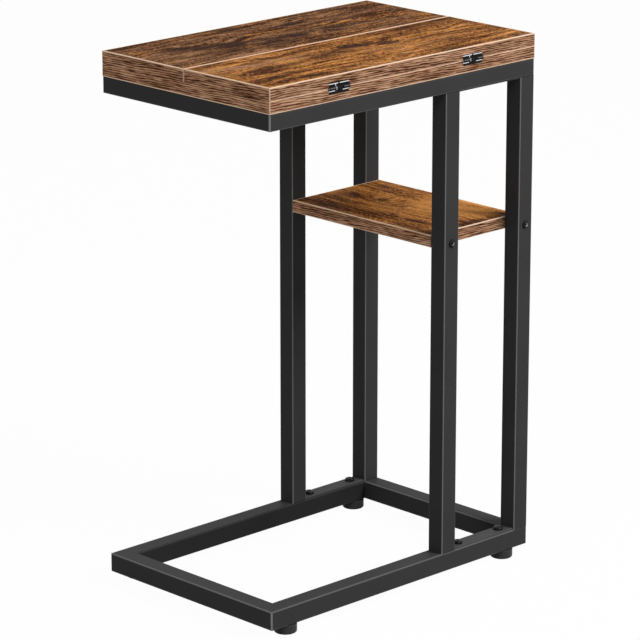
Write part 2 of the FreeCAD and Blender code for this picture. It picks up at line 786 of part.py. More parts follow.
def foot_pad(name):
    body = new_body(name)
    plan = new_sketch(body, "XY_Plane")
    add_circle(plan, "foot_width")
    pad(body, plan, "foot_height - foot_play")
    dress(body, "Fillet", "foot_round", round_end(0))
    dress(body, "Chamfer", "foot_round / 4", round_end(number("foot_height - foot_play")))
    socket = new_sketch(body, "XY_Plane", lift="foot_height - foot_play")
    add_circle(socket, "stud_width + thread_play")
    pocket(body, socket, "foot_height - foot_play - foot_floor")
    return body


def foot_stud(name):
    body = new_body(name)
    plan = new_sketch(body, "XY_Plane", lift="foot_floor")
    add_circle(plan, "stud_width")
    pad(body, plan, "foot_height + stud_reach - foot_floor")
    dress(body, "Chamfer", "stud_width / 8", round_end(number("foot_height + stud_reach")))
    return body


for side, spots in foot_spots.items():
    for end, (x, y) in zip(("open", "post"), spots):
        keep(place(foot_pad(f"{side}_{end}_foot_pad"), x, y), f"{side}_{end}_foot_pad")
        keep(place(foot_stud(f"{side}_{end}_foot_stud"), x, y), f"{side}_{end}_foot_stud")

# Everything is recomputed and tested before anything is written.
doc.recompute()
for item in doc.Objects:
    if "Invalid" in item.State or "Error" in item.State:
        raise RuntimeError(f"{item.Label} failed: {item.State}")
for piece in finished:
    if piece.Shape.isNull() or not piece.Shape.isValid() or not piece.Shape.Solids:
        raise RuntimeError(f"{piece.Label} has no valid solid")

os.makedirs("parts", exist_ok=True)
for piece in finished:
    piece.Shape.exportStep(f"parts/{piece.Label}.step")
    box = piece.Shape.BoundBox
    print(f"{piece.Label}: {len(piece.Shape.Solids)} solid(s), {piece.Shape.Volume:.0f} mm3, "
          f"x {box.XMin:.1f} to {box.XMax:.1f}, y {box.YMin:.1f} to {box.YMax:.1f}, "
          f"z {box.ZMin:.1f} to {box.ZMax:.1f}")
print(f"{len(finished)} sub-parts")
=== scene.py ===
# %% [markdown]
# # A C-shaped side table with a double flip top
# The table stands beside a sofa with its base pushed under the seat. A base and a top frame of black
# square tube are joined by four posts at one end only. The top is two boards thick: the upper layer is
# split down its middle, and each half flips out over a long edge on two small hinges.
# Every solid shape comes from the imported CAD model, so this lesson loads that model first. It then gives
# each piece the finish of the real one, cuts real threads on the feet, and sets up light and camera.

# %% Load the table
import math

import bpy
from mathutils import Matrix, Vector


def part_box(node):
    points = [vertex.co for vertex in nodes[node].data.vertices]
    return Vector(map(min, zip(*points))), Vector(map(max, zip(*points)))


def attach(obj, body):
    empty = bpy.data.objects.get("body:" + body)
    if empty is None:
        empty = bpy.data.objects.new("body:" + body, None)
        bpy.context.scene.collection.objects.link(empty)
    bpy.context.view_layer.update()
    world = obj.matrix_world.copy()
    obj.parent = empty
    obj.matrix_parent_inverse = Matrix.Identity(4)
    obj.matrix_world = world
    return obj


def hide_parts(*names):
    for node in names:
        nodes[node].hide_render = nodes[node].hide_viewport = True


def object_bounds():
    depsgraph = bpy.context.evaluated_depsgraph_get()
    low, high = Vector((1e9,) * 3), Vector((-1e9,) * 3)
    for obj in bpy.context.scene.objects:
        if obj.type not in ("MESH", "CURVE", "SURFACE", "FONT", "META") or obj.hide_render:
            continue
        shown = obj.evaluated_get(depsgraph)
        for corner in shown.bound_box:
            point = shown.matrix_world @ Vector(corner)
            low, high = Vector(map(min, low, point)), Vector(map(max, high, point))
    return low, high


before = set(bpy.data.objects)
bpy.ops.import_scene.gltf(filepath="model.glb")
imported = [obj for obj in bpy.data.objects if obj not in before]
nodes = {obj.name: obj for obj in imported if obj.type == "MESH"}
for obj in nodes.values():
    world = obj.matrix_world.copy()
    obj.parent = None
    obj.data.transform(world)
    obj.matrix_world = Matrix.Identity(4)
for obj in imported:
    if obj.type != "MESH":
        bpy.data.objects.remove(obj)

MM = 0.001
cad_low, cad_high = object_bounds()
print("table box in mm:", [round(side / MM, 1) for side in cad_high - cad_low], "nodes:", len(nodes))

# %% [markdown]
# ## Sums on sockets
# A finish is a small calculation that runs at every point of a surface. In Blender each step of it is a
# node, and wiring dozens of nodes by hand hides the sum. The class below wraps one socket, so that a line
# such as `1 - mask` or `0.5 * grain` adds its Math nodes by itself. Its method `node` makes any other kind
# of node: the settings are set first, because some of them change which sockets the node has.

# %% Wire class
class Wire:
    """One output socket; Python's operators on it add Math nodes."""

    def __init__(self, tree, socket=None):
        self.tree = tree
        self.socket = socket

    def node(self, kind, settings=None, sockets=None, out=0):
        """Adds a node and returns one of its outputs; sockets are given by name or by place."""
        made = self.tree.nodes.new("ShaderNode" + kind)
        for key, value in (settings or {}).items():
            if key == "stops":
                set_stops(made.color_ramp, value)
            else:
                setattr(made, key, value)
        for key, value in (sockets or {}).items():
            if isinstance(value, Wire):
                self.tree.links.new(value.socket, made.inputs[key])
            else:
                made.inputs[key].default_value = value
        return Wire(self.tree, made.outputs[out] if made.outputs else None)

    def math(self, operation, first, second=0.0):
        return self.node("Math", {"operation": operation}, {0: first, 1: second})

    def __add__(self, other):
        return self.math("ADD", self, other)

    def __sub__(self, other):
        return self.math("SUBTRACT", self, other)

    def __rsub__(self, other):
        return self.math("SUBTRACT", other, self)

    def __mul__(self, other):
        return self.math("MULTIPLY", self, other)

    def __truediv__(self, other):
        return self.math("DIVIDE", self, other)

    def __neg__(self):
        return self.math("MULTIPLY", self, -1.0)

    def __abs__(self):
        return self.math("ABSOLUTE", self)

    def __gt__(self, other):
        return self.math("GREATER_THAN", self, other)

    def __lt__(self, other):
        return self.math("LESS_THAN", self, other)

    __radd__ = __add__
    __rmul__ = __mul__

    def larger(self, other):
        return self.math("MAXIMUM", self, other)

    def smooth(self, low, high):
        """0 below low, 1 above high, with a soft step between them."""
        return self.node("MapRange", {"interpolation_type": "SMOOTHSTEP"},
                         {"Value": self, "From Min": low, "From Max": high})

    def between(self, nothing, everything):
        """Mixes two colours; this wire is the share of the second."""
        return self.node("Mix", {"data_type": "RGBA"},
                         {"Factor": self, 6: opaque(nothing), 7: opaque(everything)}, out=2)


def opaque(colour):
    return colour if isinstance(colour, Wire) else (*colour, 1.0)


def set_stops(ramp, stops):
    """Fills a colour ramp; it starts out with two stops at its ends, so only the others are new."""
    for place, _ in stops[1:-1]:
        ramp.elements.new(place)
    for element, (_, colour) in zip(ramp.elements, stops):
        element.color = opaque(colour)


print("wires ready")

# %% [markdown]
# ## Materials
# Every finish starts as an empty material and ends in one Principled shader, Blender's all-round surface.
# The CAD pieces already have material slots, so to dress a piece is only to fill its slots, and its mesh
# stays as it was packed. The sheen of a finish is set by its IOR. Real lacquers and plastics are near 1.5,
# but against a pure white ground that would lay a pale veil on the black, so the values here are lower.

# %% Begin, finish and dress
def begin(name):
    material = bpy.data.materials.new(name)
    material.use_nodes = True
    material.node_tree.nodes.clear()
    return material, Wire(material.node_tree)


def finish_with(wire, sockets):
    """Ends a material in one Principled shader; plain numbers are set on the shader's own sockets."""
    shader = wire.node("BsdfPrincipled", {}, sockets)
    wire.node("OutputMaterial", {}, {"Surface": shader})


def dress(names, material):
    for name in names:
        for slot in nodes[name].material_slots:
            slot.material = material
    print(material.name, "on", len(names), "piece(s)")


def names_ending(*endings):
    return sorted(name for name in nodes if name.endswith(endings))


print("tubes to dress:", len(names_ending("_rail", "_post")), "boards:", len(names_ending("_board", "_leaf")))

# %% [markdown]
# ## Where a point is
# A print has to stay on its board when a leaf flips, so every finish reads the piece's own coordinates and
# its own normal. The coordinates are turned into millimetres here, because a grain line is easier to think
# of as half a millimetre wide than as a scale of 2000. The sizes of all markings below are in millimetres.
# A name that ends in STEP holds the two values between which a mask goes softly from 0 to 1.

# %% Coordinates and noise
def split(vector):
    return [vector.node("SeparateXYZ", {}, {0: vector}, out=axis) for axis in range(3)]


def place_in_mm(wire):
    metres = wire.node("TexCoord", out="Object")
    return split(wire.node("VectorMath", {"operation": "SCALE"}, {0: metres, "Scale": 1 / MM}))


def facing(wire):
    return split(wire.node("TexCoord", out="Normal"))


def noise(wire, x, y, z, detail, roughness=0.5):
    """Cloudy values from 0 to 1; x, y and z are already divided by the size of a cloud."""
    spot = wire.node("CombineXYZ", {}, {0: x, 1: y, 2: z})
    return wire.node("TexNoise", {}, {"Vector": spot, "Scale": 1.0, "Detail": detail, "Roughness": roughness})


def mottle(wire, place, size, detail):
    """Clouds of the same size, in mm, in every direction."""
    return noise(wire, *[part / size for part in place], detail)


def swing(cloudy, share):
    """A noise moved to swing round 0 instead of 0.5, times its share of a sum."""
    return share * (cloudy - 0.5)


def bump(wire, height, depth):
    return wire.node("Bump", {}, {"Height": height, "Distance": depth, "Strength": 1.0})


print("coordinates in mm, from", [round(value / MM) for value in cad_low], "to",
      [round(value / MM) for value in cad_high])

# %% [markdown]
# ## Powder coat on the frame
# The tubes are welded, then dusted with black powder that melts to an even skin. It is nearly matt, a shade
# uneven, and pebbled like orange peel when seen close. The rounded corners of the tube are painted lighter,
# as a painted highlight, and the upright corners, up the posts and round the mitres, are painted lightest.
# The corners are found from the normal: on a flat side one part of it is 1, and on a round no part is. The
# upper sides are painted a little lighter as well, as painted light from above.
#
# Not every corner gets the painted highlight. It is left off the upper corners of the top frame, which lie in
# the board's shadow, and mostly off the corners under the end posts, which are filled with weld and ground
# flush. The long inner sides of the base are painted darker, as painted shade, and their corners get no
# highlight. On the base's sides that face the open end the painted highlight is stronger.

# %% Painted light and shade on the tubes
# In mm: how far below the board a corner still counts as in its shadow, with no painted highlight, and above
# a post's foot as base.
BOARD_SHADOW_REACH = 6
POST_FOOT_MARGIN = 1
# In mm: what y times the normal's y stays under on a side that faces inwards.
INWARD = -1
# The share of the painted corner highlight that is left off where weld fills the corners under the posts.
FLUSH_WELD = 0.85
OPEN_END_STEP = (0.2, 0.5)


def tube_light_masks(place, normal, lying):
    """Three masks: corners that get the painted highlight, inner sides of the base with painted shade, and
    the base's sides that face the open end, where the highlight is stronger.
    """
    x, y, z = place
    under_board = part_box("fixed_top_board")[0].z / MM - BOARD_SHADOW_REACH
    post_low, post_high = [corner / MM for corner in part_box("front_outer_post")]
    base = z < post_low.z + POST_FOOT_MARGIN
    inner = base * (y * normal[1] < INWARD)
    under_post = base * (x > post_low.x) * (abs(y) > -post_high.y)
    highlight_shown = (1 - lying * (z > under_board)) * (1 - FLUSH_WELD * under_post * lying) * (1 - inner * lying)
    open_end_side = base * (-normal[0]).smooth(*OPEN_END_STEP)
    return highlight_shown, inner * (1 - lying), open_end_side


# %% [markdown]
# ## The coat itself
# One function makes both coats. The tubes get all of the painted light and shade above. The flat strips
# between the posts are painted in a lighter black, as painted light, with their rounds as light as their lit
# tops, so that no highlight line shows on them.

# %% Powder coat
# The corner colour is a painted highlight on the rounds, and the last colour a lighter painted highlight on
# the upright corners.
FRAME_BLACK = {"flat": (0.039, 0.039, 0.0395), "corner": (0.110, 0.110, 0.112), "tip": (0.24, 0.24, 0.243)}
# A lighter copy of the coat for the strips, as painted light; its rounds are painted as light as the strips'
# lit tops.
STRIP_LIT_BLACK = {"flat": (0.056, 0.056, 0.0565), "corner": (0.075, 0.075, 0.076), "tip": (0.075, 0.075, 0.076)}
NO_LIGHT = (0.0, 0.0, 0.0)
CORNER_STEP = (0.0, 0.12)
UPRIGHT_HIGHLIGHT_STEP = (0.47, 0.495)
UPPER_SIDE_STEP = (0.9, 1.0)
LYING_STEP = (0.05, 0.2)
UNEVEN_SIZE = 60
PEEL_SIZE = 0.9
PEEL_DEPTH = 0.02 * MM
PAINTED_TOP_LIGHT = 0.25
INNER_SHADE = 0.4
OPEN_END_HIGHLIGHT = 0.6
COAT_SHEEN = 1.1


def powder_coat(name, flat, corner, tip, is_tube):
    material, wire = begin(name)
    place = place_in_mm(wire)
    normal = facing(wire)
    across, deep, up = [abs(part) for part in normal]
    # Painted highlight on the rounded corners of the tube.
    corner_highlight = (1 - across.larger(deep).larger(up)).smooth(*CORNER_STEP)
    # Painted highlight on the upright corners: the posts' edges and the outer corners of the mitres.
    ground = (across * deep).smooth(*UPRIGHT_HIGHLIGHT_STEP)
    # Upper sides painted lighter: painted light from above.
    painted_light_and_shade = 1 + PAINTED_TOP_LIGHT * normal[2].smooth(*UPPER_SIDE_STEP)
    if is_tube:
        highlight_shown, inner, open_end_side = tube_light_masks(place, normal, up.smooth(*LYING_STEP))
        corner_highlight = corner_highlight * highlight_shown
        # On the base's sides that face the open end, the painted corner highlight is made stronger.
        ground = ground.larger(OPEN_END_HIGHLIGHT * open_end_side * corner_highlight)
        # Painted shade on the long inner sides of the base.
        painted_light_and_shade = painted_light_and_shade - INNER_SHADE * inner
    uneven = mottle(wire, place, UNEVEN_SIZE, detail=3)
    peel = mottle(wire, place, PEEL_SIZE, detail=1)
    # Half of twice the flat colour is that colour, so a shade over a half makes it lighter.
    skin = ((0.44 + 0.12 * uneven) * painted_light_and_shade).between(NO_LIGHT, [2 * part for part in flat])
    finish_with(wire, {
        "Base Color": ground.between(corner_highlight.between(skin, corner), tip),
        "Roughness": 0.5 + swing(peel, 0.1) - 0.08 * corner_highlight,
        "IOR": COAT_SHEEN,
        "Normal": bump(wire, peel, PEEL_DEPTH),
    })
    return material


dress(names_ending("_rail", "_post"), powder_coat("black_powder_coat", **FRAME_BLACK, is_tube=True))
dress(names_ending("_foot_strip", "_head_strip"),
      powder_coat("strip_lit_powder_coat", **STRIP_LIT_BLACK, is_tube=False))

# %% [markdown]
# ## Wood print on the boards
# The boards are chipboard under a printed paper: a rustic brown with orange streaks along the grain, dark
# weathered clouds and a few cracks. It could be one noise with a colour ramp, but real print has several
# sizes of marking on top of each other. So broad bands, streaks, fibres, grit and pores are added up to one
# tone, which a warm and a weathered ramp turn into colour. The ramps go on past tone 1, so that light
# patches keep their grain instead of going flat.

# %% Tones of the print
LIGHTEST_TONE = 1.6
WARM = [(0.0, (0.035, 0.010, 0.003)), (0.1, (0.085, 0.026, 0.007)), (0.33, (0.190, 0.068, 0.020)),
        (0.5, (0.300, 0.114, 0.031)), (0.67, (0.425, 0.169, 0.045)), (0.9, (0.595, 0.248, 0.062)),
        (1.0, (0.655, 0.280, 0.072)), (LIGHTEST_TONE, (0.960, 0.430, 0.130))]
WEATHERED = [(0.0, (0.020, 0.007, 0.003)), (0.1, (0.046, 0.015, 0.006)), (0.33, (0.099, 0.041, 0.017)),
             (0.5, (0.150, 0.065, 0.028)), (0.67, (0.221, 0.097, 0.041)), (0.9, (0.333, 0.154, 0.067)),
             (1.0, (0.385, 0.183, 0.083)), (LIGHTEST_TONE, (0.560, 0.290, 0.150))]
SMOKED = (0.034, 0.016, 0.012)


def tinted(wire, tone, stops):
    """Turns a tone into colour; a ramp only reaches from 0 to 1, so the lightest tone is brought to 1."""
    scaled = [(place / LIGHTEST_TONE, colour) for place, colour in stops]
    return wire.node("ValToRGB", {"stops": scaled}, {0: tone / LIGHTEST_TONE})


print("stops of the warm and the weathered ramp:", len(WARM), len(WEATHERED))

# %% [markdown]
# ## Markings of the print
# Each kind of marking is a noise drawn out along the grain. A wave bends all of them together, and a knot
# pushes the grain aside. Cracks, stains and pale places that matter are given as oval spots: smoke
# with ragged edges gathers on the dark ones and keeps off the pale ones.

# %% Markings
# Length along the grain and width across it of each kind of marking, in mm.
WAVES = (120, 40)
BANDS = (150, 36)
STREAKS = (90, 7)
FIBRES = (24, 3.2)
GRIT = (3.4, 2.4)
RAGS = (12, 6)
CLOUDS = (55, 15)
PORES = (7, 0.35)
WAVE_HEIGHT = 34
KNOT_HEIGHT = 13
SPOT_FADE = 1.6


def marking(wire, along, across, size, layer, detail, roughness=0.5):
    return noise(wire, along / size[0], across / size[1], layer, detail, roughness)


def nearness(along, across, spot):
    """1 at the middle of a spot, fading to 0 outside it; a spot is its middle, half length and half width."""
    middle_along, middle_across, half_length, half_width = spot
    far_along = (along - middle_along) / half_length
    far_across = (across - middle_across) / half_width
    return 1 - (far_along * far_along + far_across * far_across).smooth(0.0, SPOT_FADE)


print("finest marking:", min(PORES), "mm wide, longest:", max(BANDS), "mm")

# %% Wood print
OTHER_SIDE = 7.3
PORE_STEP = (0.6, 0.68)
SMOKE_STEP = (0.50, 0.86)
WEATHER_STEP = (0.40, 0.62)
PORE_DARKNESS = 0.06
MARK_DARKNESS = 0.8
SMOKE_DARKNESS = 0.85
PRINT_RELIEF = 0.05 * MM
PRINT_SHEEN = 1.04


def wood_print(name, grain, seed, weathering, lightness, contrast, knot, marks):
    material, wire = begin(name)
    x, y, _ = place_in_mm(wire)
    along, across = (x, y) if grain == "X" else (y, x)
    side = seed + OTHER_SIDE * (facing(wire)[2] > 0.0)
    waves = marking(wire, along, across, WAVES, side, detail=2)
    bent = across + swing(waves, WAVE_HEIGHT) + KNOT_HEIGHT * nearness(along, across, knot)
    bands = marking(wire, along, bent, BANDS, side + 1.1, detail=2)
    streaks = marking(wire, along, bent, STREAKS, side + 2.2, detail=4, roughness=0.6)
    fibres = marking(wire, along, bent, FIBRES, side + 2.9, detail=3, roughness=0.65)
    grit = marking(wire, along, bent, GRIT, side + 3.3, detail=3, roughness=0.75)
    rags = marking(wire, along, bent, RAGS, side + 4.4, detail=5, roughness=0.75)
    clouds = marking(wire, along, bent, CLOUDS, side + 5.5, detail=6, roughness=0.7)
    pores = marking(wire, along, bent, PORES, side + 6.6, detail=1).smooth(*PORE_STEP)
    swings = swing(bands, 1.9) + swing(streaks, 2.5) + swing(fibres, 1.8) + swing(grit, 3.6)
    tone = lightness - PORE_DARKNESS * pores + contrast * swings
    smoke = clouds + swing(rags, 1.1) + swing(fibres, 0.6) + swing(grit, 0.5)
    for *spot, strength in marks:
        mark = strength * nearness(along, across, spot)
        smoke = smoke + mark
        tone = tone - MARK_DARKNESS * mark
    smoked = SMOKE_DARKNESS * contrast * smoke.smooth(*SMOKE_STEP)
    weathered = (bands + swing(clouds, 0.8) + weathering).smooth(*WEATHER_STEP)
    colour = weathered.between(tinted(wire, tone, WARM), tinted(wire, tone, WEATHERED))
    finish_with(wire, {
        "Base Color": smoked.between(colour, SMOKED),
        "Roughness": 0.55 + swing(fibres, 0.3) + 0.1 * pores,
        "IOR": PRINT_SHEEN,
        "Normal": bump(wire, fibres + 0.4 * grit - 0.6 * pores, PRINT_RELIEF),
    })
    return material


print("print relief in mm:", PRINT_RELIEF / MM)

# %% [markdown]
# ## The four boards
# All boards share the print but none is a copy of another: each has its own seed, lightness, contrast, share
# of weathered grain, knot and marks. On the top the grain runs along the table's long edges, and on the
# shelf it runs from front to back.

# %% Boards
# Each mark is its middle along and across the grain, its half length and half width in mm, and how dark it
# is; a strength below zero makes a pale mark.
FRONT_LEAF_MARKS = [(-170, -66, 62, 22, 0.06), (-40, -60, 52, 24, 0.15), (58, -62, 22, 8, 0.40),
                    (12, -46, 32, 8, 0.34), (135, -70, 62, 3, 0.25), (-136, -133, 26, 9, 0.28),
                    (-78, -130, 22, 5, 0.22), (142, -12, 34, 8, 0.24), (-196, -30, 34, 14, -0.3),
                    (-70, -110, 70, 18, -0.14)]
BACK_LEAF_MARKS = [(-158, 84, 34, 24, 0.2), (-112, 66, 38, 22, 0.22), (-70, 52, 44, 20, 0.18),
                   (-12, 44, 36, 16, 0.24), (-16, 115, 24, 7, 0.24), (52, 106, 26, 9, 0.24),
                   (74, 50, 24, 10, 0.2), (-80, 38, 20, 6, -0.2)]
SHELF_MARKS = [(92, 138, 24, 20, 0.26), (44, 156, 10, 7, 0.3), (88, 88, 26, 10, 0.1),
               (-62, 106, 22, 5, 0.3), (0, 92, 90, 22, -0.08), (-116, 175, 8, 60, 0.34),
               (-52, 205, 66, 62, -0.9)]
FIXED_BOARD_MARKS = [(-120, 60, 40, 12, 0.22), (30, -40, 46, 9, 0.26), (150, 90, 30, 10, 0.2)]

dress(["front_flip_leaf"],
      wood_print("front_leaf_print", grain="X", seed=1.0, weathering=-0.12, lightness=0.58, contrast=1.0,
                 knot=(30, -58, 46, 20), marks=FRONT_LEAF_MARKS))
dress(["back_flip_leaf"],
      wood_print("back_leaf_print", grain="X", seed=20.0, weathering=0.10, lightness=0.50, contrast=1.07,
                 knot=(-110, 82, 60, 26), marks=BACK_LEAF_MARKS))
dress(["shelf_board"],
      wood_print("shelf_print", grain="Y", seed=40.0, weathering=-0.40, lightness=0.42, contrast=0.8,
                 knot=(40, 150, 40, 20), marks=SHELF_MARKS))
dress(["fixed_top_board"],
      wood_print("fixed_board_print", grain="X", seed=60.0, weathering=0.0, lightness=0.52, contrast=1.0,
                 knot=(60, 20, 50, 22), marks=FIXED_BOARD_MARKS))

# %% [markdown]
# ## Grain of the edge strips
# The board edges are closed with 2 mm plastic strip, printed with finer and straighter grain than the
# faces. Noise alone looks like clouds there, so the grain is a wave across the strip: its crests are dark
# threads, which one noise bends and another breaks up. Hairs and patches are added on top.

# %% Strip grain
STRIP_PRINT = [(0.0, (0.026, 0.009, 0.004)), (0.2, (0.090, 0.034, 0.015)), (0.5, (0.250, 0.120, 0.062)),
               (0.8, (0.410, 0.225, 0.130)), (1.0, (0.530, 0.320, 0.200))]
WHOLE_TURN = 2 * math.pi
GRAIN_SLANT = 0.03
THREAD_SPACING = 2.8
THREAD_SWAY = 2.6
THREAD_DARKNESS = 0.92
BREAK_STEP = (0.22, 0.55)
STRIP_LIGHTNESS = 0.69
# Length along the strip and width across it, in mm.
SWAYS = (62, 10)
BREAKS = (42, 3.0)
HAIRS = (13, 1.1)
PATCHES = (60, 12)


def strip_grain(wire, along, z, seed):
    """The dark threads, the hairs and the tone of the printed grain."""
    level = z + GRAIN_SLANT * along
    sway = marking(wire, along, level, SWAYS, seed, detail=3, roughness=0.55)
    wave = 0.5 + 0.5 * wire.math("SINE", WHOLE_TURN * (level / THREAD_SPACING + THREAD_SWAY * sway))
    breaks = marking(wire, along, level, BREAKS, seed + 2.3, detail=2).smooth(*BREAK_STEP)
    threads = wave * wave * wave * breaks
    hairs = marking(wire, along, level, HAIRS, seed + 1.7, detail=2)
    patches = marking(wire, along, level, PATCHES, seed + 3.1, detail=3)
    tone = STRIP_LIGHTNESS - THREAD_DARKNESS * threads + swing(hairs, 1.7) + swing(patches, 1.2)
    return threads, hairs, tone


print("threads on the strips every", THREAD_SPACING, "mm")

# %% [markdown]
# ## Pale lines on the edge strips
# A cutter trims the strip flush and rounds it, which bares the pale plastic below the print. The light line
# along every board edge and up every corner is partly that bared plastic and partly painted highlight, set
# as wide and as pale as the light that the rounded edges catch. Each strip set knows its own top and bottom
# from its CAD box, so the pale lines stay on the edges whichever way a leaf lies. Where the two layers of the
# top meet, only the long edges get a line that far, and the shelf's corners, hidden by the posts, get no
# line at all. Beside the seam between the leaves the flat of the strip's top keeps its print, so the line
# there is thin. On the short ends the bared plastic and the print are painted lighter still, as painted
# light.

# %% Bared lines and painted highlights
SEAM_REACH = 10
FLAT_TOP_STEP = (0.96, 0.999)
CORNER_LINE_STEP = (0.05, 0.2)
CUT_STEP = (-0.2, 0.2)
# Height of each bared line in mm, and the edge at which two layers of the top meet.
LEAF_TRIM = {"top": 1.15, "bottom": 0.8, "has_corner_lines": True, "layer_edge": "bottom"}
FIXED_BOARD_TRIM = {"top": 0.4, "bottom": 1.5, "has_corner_lines": True, "layer_edge": "top"}
SHELF_TRIM = {"top": 1.05, "bottom": 0.9, "has_corner_lines": False, "layer_edge": None}


def bared_and_highlight_lines(strips, place, normal, on_long_side, trim):
    """1 on the pale lines, bared plastic and painted highlight in one; normal holds the sizes of its three
    parts.
    """
    low, high = [corner.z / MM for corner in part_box(strips)]
    _, y, z = place
    across, deep, up = normal
    off_seam = 1 - (SEAM_REACH > abs(y)) * up.smooth(*FLAT_TOP_STEP)
    top_line = off_seam * (z - (high - trim["top"])).smooth(*CUT_STEP)
    bottom_line = ((low + trim["bottom"]) - z).smooth(*CUT_STEP)
    if trim["layer_edge"] == "top":
        top_line = top_line * on_long_side
    elif trim["layer_edge"] == "bottom":
        bottom_line = bottom_line * on_long_side
    lines = top_line.larger(bottom_line)
    if trim["has_corner_lines"]:
        lines = lines.larger((across * deep).smooth(*CORNER_LINE_STEP))
    return lines


print("pale lines in mm, top and bottom of a leaf:", LEAF_TRIM["top"], LEAF_TRIM["bottom"])

# %% Edge strips
# The short ends of the strips get a lighter print and lighter bared plastic: painted light that lifts the
# half shade on the ends.
END_PAINTED_LIGHT = 1.51
BARE_PLASTIC_AND_HIGHLIGHT = (0.71, 0.49, 0.355)
BARE_END_PAINTED_LIGHT = (1.0, 0.72, 0.50)
LONG_SIDE_STEP = (0.3, 0.7)
STRIP_RELIEF = 0.05 * MM
STRIP_SHEEN = 1.12
SEED_SPACING = 11.0


def edge_strip(name, strips, seed, trim):
    material, wire = begin(name)
    place = place_in_mm(wire)
    x, y, z = place
    normal = [abs(part) for part in facing(wire)]
    across, deep, _ = normal
    on_long_side = deep > across
    along = y + on_long_side * (x - y)
    threads, hairs, tone = strip_grain(wire, along, z, seed)
    # A lighter copy of the print for the ends, as painted light.
    lit_end_stops = [(stop, [END_PAINTED_LIGHT * part for part in colour]) for stop, colour in STRIP_PRINT]
    long_print, lit_end_print = [
        wire.node("ValToRGB", {"stops": stops}, {0: tone}) for stops in (STRIP_PRINT, lit_end_stops)]
    printed = on_long_side.between(lit_end_print, long_print)
    # Lighter bared plastic on the ends, as painted light.
    plastic = deep.smooth(*LONG_SIDE_STEP).between(BARE_END_PAINTED_LIGHT, BARE_PLASTIC_AND_HIGHLIGHT)
    finish_with(wire, {
        "Base Color": bared_and_highlight_lines(strips, place, normal, on_long_side, trim).between(printed, plastic),
        "Roughness": 0.5 + swing(hairs, 0.12),
        "IOR": STRIP_SHEEN,
        "Normal": bump(wire, hairs - threads, STRIP_RELIEF),
    })
    return material


TRIMS = {"front_flip_leaf": LEAF_TRIM, "back_flip_leaf": LEAF_TRIM,
         "fixed_top_board": FIXED_BOARD_TRIM, "shelf_board": SHELF_TRIM}
for index, (board, trim) in enumerate(TRIMS.items()):
    strips = board + "_edge_strips"
    dress([strips], edge_strip(board + "_edge_print", strips, SEED_SPACING * index, trim))

# %% [markdown]
# ## Bolts and screws
# The small steel parts are plated a glossy black. Handling polishes their rims, so the rounds and bevels are
# a little lighter and smoother than the flats, and a faint cloudiness keeps the gloss from looking wet. The
# walls of the shelf bolts' sockets are a light dull grey, partly plating worn off by the key and partly a
# painted glint: the grey wall that the main lamp lights is what shows as a small glint. Those walls are found
# by their distance from a bolt's axis: folding x at the middle of the shelf lays all the bolts on top of each
# other.

# %% Worn sockets with a painted glint
SOCKET_REACH = 2.45
SOCKET_WALL_STEP = (0.3, 0.7)


def shelf_bolt_sockets(x, z, normal_y):
    """1 on the walls of the sockets, 0 elsewhere; the height of the bolts' box is the width of a head."""
    low, high = [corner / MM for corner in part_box("shelf_bolts")]
    head_radius = (high.z - low.z) / 2
    sideways = abs(x - (low.x + high.x) / 2) - ((high.x - low.x) / 2 - head_radius)
    upwards = z - (low.z + high.z) / 2
    near_axis = sideways * sideways + upwards * upwards < SOCKET_REACH ** 2
    return near_axis * (1 - abs(normal_y)).smooth(*SOCKET_WALL_STEP)


print("sockets reach", SOCKET_REACH, "mm from the axis of a shelf bolt")

# %% Black plating
BLACK_PLATING = ((0.003, 0.003, 0.003), (0.006, 0.006, 0.006))
POLISHED_PLATING = (0.012, 0.012, 0.013)
SOCKET_WEAR_AND_GLINT = (0.75, 0.75, 0.76)
RIM_STEP = (0.04, 0.25)
PLATING_CLOUD = 3
PLATING_RELIEF = 0.01 * MM
PLATING_SHEEN = 1.2


def black_plating(name, has_worn_glinting_sockets):
    material, wire = begin(name)
    place = place_in_mm(wire)
    normal = facing(wire)
    across, deep, up = [abs(part) for part in normal]
    rim = (1 - across.larger(deep).larger(up)).smooth(*RIM_STEP)
    clouds = mottle(wire, place, PLATING_CLOUD, detail=3)
    colour = rim.between(clouds.between(*BLACK_PLATING), POLISHED_PLATING)
    roughness = 0.20 + 0.14 * clouds - 0.06 * rim
    if has_worn_glinting_sockets:
        painted_glint = shelf_bolt_sockets(place[0], place[2], normal[1])
        # Light grey socket walls: partly plating worn off by the key, partly a painted glint where the lamp
        # lights them.
        colour = painted_glint.between(colour, SOCKET_WEAR_AND_GLINT)
        roughness = roughness + 0.3 * painted_glint
    finish_with(wire, {
        "Base Color": colour,
        "Roughness": roughness,
        "IOR": PLATING_SHEEN,
        "Normal": bump(wire, clouds, PLATING_RELIEF),
    })
    return material


dress(["shelf_bolts"], black_plating("worn_glinting_black_plating", has_worn_glinting_sockets=True))
dress(names_ending("base_bolts", "head_bolts", "_hinge_screws"),
      black_plating("black_plating", has_worn_glinting_sockets=False))

# %% [markdown]
# ## Hinges with painted highlights
# The hinge plates are blackened the same way. Thin lines of bright steel are painted on them as painted
# highlights, standing in for the light on the hinge's edges and knuckles: one along the top of the moving
# plate, one up the edge of its middle knuckle, and two along the outer knuckles and the fixed plate below
# them, the upper of those two faint. Each line is a narrow range of height or length on the outward faces.

# %% Hinge lines
LINE_WIDTH = 1.0
# Places of the lines in mm below the top of a plate, or sideways from its middle.
MOVING_TOP_LINE = 1.5
KNUCKLE_LINE = -5.4
KNUCKLE_LINE_TOP = 2.0
FIXED_UPPER_LINE = 1.7
FIXED_LOWER_LINE = 5.8
FIXED_LINES_START = 6.5
FAINT = 0.12


def line_at(distance, place):
    return LINE_WIDTH / 2 > abs(distance - place)


